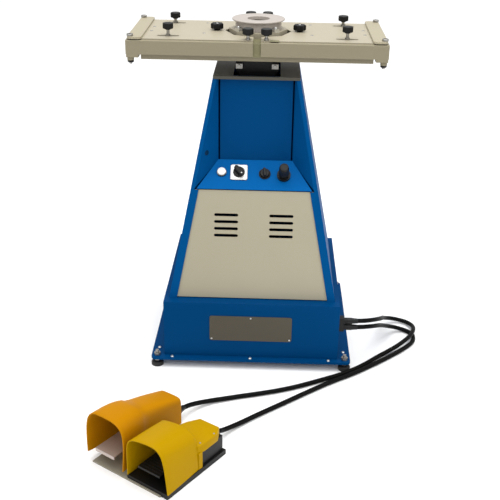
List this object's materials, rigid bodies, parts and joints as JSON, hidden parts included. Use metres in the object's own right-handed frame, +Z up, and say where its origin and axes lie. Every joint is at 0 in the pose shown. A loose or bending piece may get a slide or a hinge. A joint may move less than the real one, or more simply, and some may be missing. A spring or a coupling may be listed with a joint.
{
  "type": "pedal-operated pedestal press",
  "caption": "Floor-standing pedestal press with a tapered cabinet, a sliding split table round a central ring, an upward ram, a sloping control shelf and cabled foot pedals.",
  "frame": {"origin": "on the floor under the axis of the ram and the work ring", "axes": "+Z up, +X to the right of someone facing the control shelf, +Y to the back"},
  "size_m": [0.8999, 1.107, 0.96],
  "materials": {
    "blue_paint": "satin powder coat",
    "cream_paint": "satin paint",
    "olive_paint": "satin paint",
    "black_steel": "black paint",
    "ground_steel": "ground",
    "zinc": "bright zinc plate",
    "black_rubber": "moulded",
    "black_plastic": "fine grain",
    "white_lens": "clear white lens",
    "silver_plate": "satin anodised",
    "dark_plate": "dark satin",
    "grey_steel": "grey paint",
    "orange_plastic": "orange coat",
    "yellow_plastic": "yellow coat",
    "pedal_aluminium": "brushed",
    "cable_jacket": "smooth jacket"
  },
  "bodies": {
    "press": {"base_bar": "cream_paint", "base_plate": "blue_paint", "cable_gland": "black_plastic", "cam_switch_plate": "silver_plate", "centre_panel": "olive_paint", "clamp_blocks": "zinc", "column_head": "black_steel", "control_bezels": "black_plastic", "control_shelf": "blue_paint", "cylinder_barrel": "black_steel", "foot_studs": "zinc", "front_grille_panel": "cream_paint", "left_side_plate": "blue_paint", "levelling_feet": "black_rubber", "lower_housing": "blue_paint", "name_plate": "dark_plate", "oil_tank": "black_steel", "orange_guard": "orange_plastic", "orange_pedal_body": "orange_plastic", "orange_pedal_cable": "cable_jacket", "pedal_base_plate": "grey_steel", "pedal_pins": "zinc", "press_column": "black_steel", "pump_motor": "black_steel", "rear_panel": "blue_paint", "recess_panel": "blue_paint", "regulator_body": "black_plastic", "right_side_plate": "blue_paint", "ring_clamps": "zinc", "ring_seat": "cream_paint", "top_plate": "blue_paint", "work_ring": "cream_paint", "yellow_guard": "yellow_plastic", "yellow_pedal_body": "black_plastic", "yellow_pedal_cable": "cable_jacket"},
    "left_table": {"left_table_frame": "cream_paint", "left_table_plate": "cream_paint", "left_end_strip": "ground_steel", "left_corner_bolts": "black_steel"},
    "right_table": {"right_table_frame": "cream_paint", "right_table_plate": "cream_paint", "right_end_strip": "ground_steel", "right_corner_bolts": "black_steel"},
    "ram": {"ram_rod": "ground_steel"},
    "button": {"push_button": "white_lens"},
    "cam_handle": {"cam_switch_handle": "black_plastic"},
    "selector": {"selector_handle": "black_plastic"},
    "regulator": {"regulator_knob": "black_plastic"},
    "orange_tread": {"orange_pedal": "pedal_aluminium"},
    "yellow_tread": {"yellow_pedal": "black_plastic"},
    "left_front_clamp_knob_turn": {"left_front_clamp_knob": "black_plastic"},
    "left_front_centre_knob_turn": {"left_front_centre_knob": "black_plastic"},
    "left_rear_clamp_knob_turn": {"left_rear_clamp_knob": "black_plastic"},
    "left_rear_centre_knob_turn": {"left_rear_centre_knob": "black_plastic"},
    "left_star_knob_turn": {"left_star_knob": "black_plastic"},
    "right_front_clamp_knob_turn": {"right_front_clamp_knob": "black_plastic"},
    "right_front_centre_knob_turn": {"right_front_centre_knob": "black_plastic"},
    "right_rear_clamp_knob_turn": {"right_rear_clamp_knob": "black_plastic"},
    "right_rear_centre_knob_turn": {"right_rear_centre_knob": "black_plastic"},
    "right_star_knob_turn": {"right_star_knob": "black_plastic"}
  },
  "joints": [
    {"name": "ram_slide", "type": "slide", "parent": "press", "child": "ram", "axis": [0, 0, 1], "range_m": [0, 0.06]},
    {"name": "left_table_slide", "type": "slide", "parent": "press", "child": "left_table", "axis": [-1, 0, 0], "range_m": [0, 0.04]},
    {"name": "right_table_slide", "type": "slide", "parent": "press", "child": "right_table", "axis": [1, 0, 0], "range_m": [0, 0.04]},
    {"name": "push_button_slide", "type": "slide", "parent": "press", "child": "button", "axis": [0, 0.6798, -0.7334], "range_m": [0, 0.0035], "stiffness_N_per_m": 600},
    {"name": "cam_switch_turn", "type": "hinge", "parent": "press", "child": "cam_handle", "pos_m": [-0.0445, -0.12007, 0.55413], "axis": [0, -0.6798, 0.7334], "range_deg": [-90, 0]},
    {"name": "selector_turn", "type": "hinge", "parent": "press", "child": "selector", "pos_m": [0.0275, -0.12227, 0.55209], "axis": [0, -0.6798, 0.7334], "range_deg": [-45, 45]},
    {"name": "regulator_turn", "type": "hinge", "parent": "press", "child": "regulator", "pos_m": [0.081, -0.1252, 0.54937], "axis": [0, -0.6798, 0.7334], "continuous": true},
    {"name": "orange_pedal_hinge", "type": "hinge", "parent": "press", "child": "orange_tread", "pos_m": [-0.27601, -0.62886, 0.03], "axis": [0.8241, -0.5664, 0], "range_deg": [0, 8], "stiffness_Nm_per_rad": 8, "springref_deg": -3.44},
    {"name": "yellow_pedal_hinge", "type": "hinge", "parent": "press", "child": "yellow_tread", "pos_m": [-0.15734, -0.71042, 0.03], "axis": [0.8241, -0.5664, 0], "range_deg": [0, 8], "stiffness_Nm_per_rad": 8, "springref_deg": -3.44},
    {"name": "left_front_clamp_knob_spin", "type": "hinge", "parent": "left_table", "child": "left_front_clamp_knob_turn", "pos_m": [-0.238, -0.0935, 0.95], "axis": [0, 0, 1], "continuous": true},
    {"name": "left_front_centre_knob_spin", "type": "hinge", "parent": "left_table", "child": "left_front_centre_knob_turn", "pos_m": [-0.0243, -0.126, 0.945], "axis": [0, 0, 1], "continuous": true},
    {"name": "left_rear_clamp_knob_spin", "type": "hinge", "parent": "left_table", "child": "left_rear_clamp_knob_turn", "pos_m": [-0.238, 0.0935, 0.95], "axis": [0, 0, 1], "continuous": true},
    {"name": "left_rear_centre_knob_spin", "type": "hinge", "parent": "left_table", "child": "left_rear_centre_knob_turn", "pos_m": [-0.0243, 0.126, 0.945], "axis": [0, 0, 1], "continuous": true},
    {"name": "left_star_knob_spin", "type": "hinge", "parent": "left_table", "child": "left_star_knob_turn", "pos_m": [-0.1133, 0, 0.94], "axis": [0, 0, 1], "continuous": true},
    {"name": "right_front_clamp_knob_spin", "type": "hinge", "parent": "right_table", "child": "right_front_clamp_knob_turn", "pos_m": [0.238, -0.0935, 0.95], "axis": [0, 0, 1], "continuous": true},
    {"name": "right_front_centre_knob_spin", "type": "hinge", "parent": "right_table", "child": "right_front_centre_knob_turn", "pos_m": [0.0243, -0.126, 0.945], "axis": [0, 0, 1], "continuous": true},
    {"name": "right_rear_clamp_knob_spin", "type": "hinge", "parent": "right_table", "child": "right_rear_clamp_knob_turn", "pos_m": [0.238, 0.0935, 0.95], "axis": [0, 0, 1], "continuous": true},
    {"name": "right_rear_centre_knob_spin", "type": "hinge", "parent": "right_table", "child": "right_rear_centre_knob_turn", "pos_m": [0.0243, 0.126, 0.945], "axis": [0, 0, 1], "continuous": true},
    {"name": "right_star_knob_spin", "type": "hinge", "parent": "right_table", "child": "right_star_knob_turn", "pos_m": [0.1133, 0, 0.94], "axis": [0, 0, 1], "continuous": true}
  ]
}
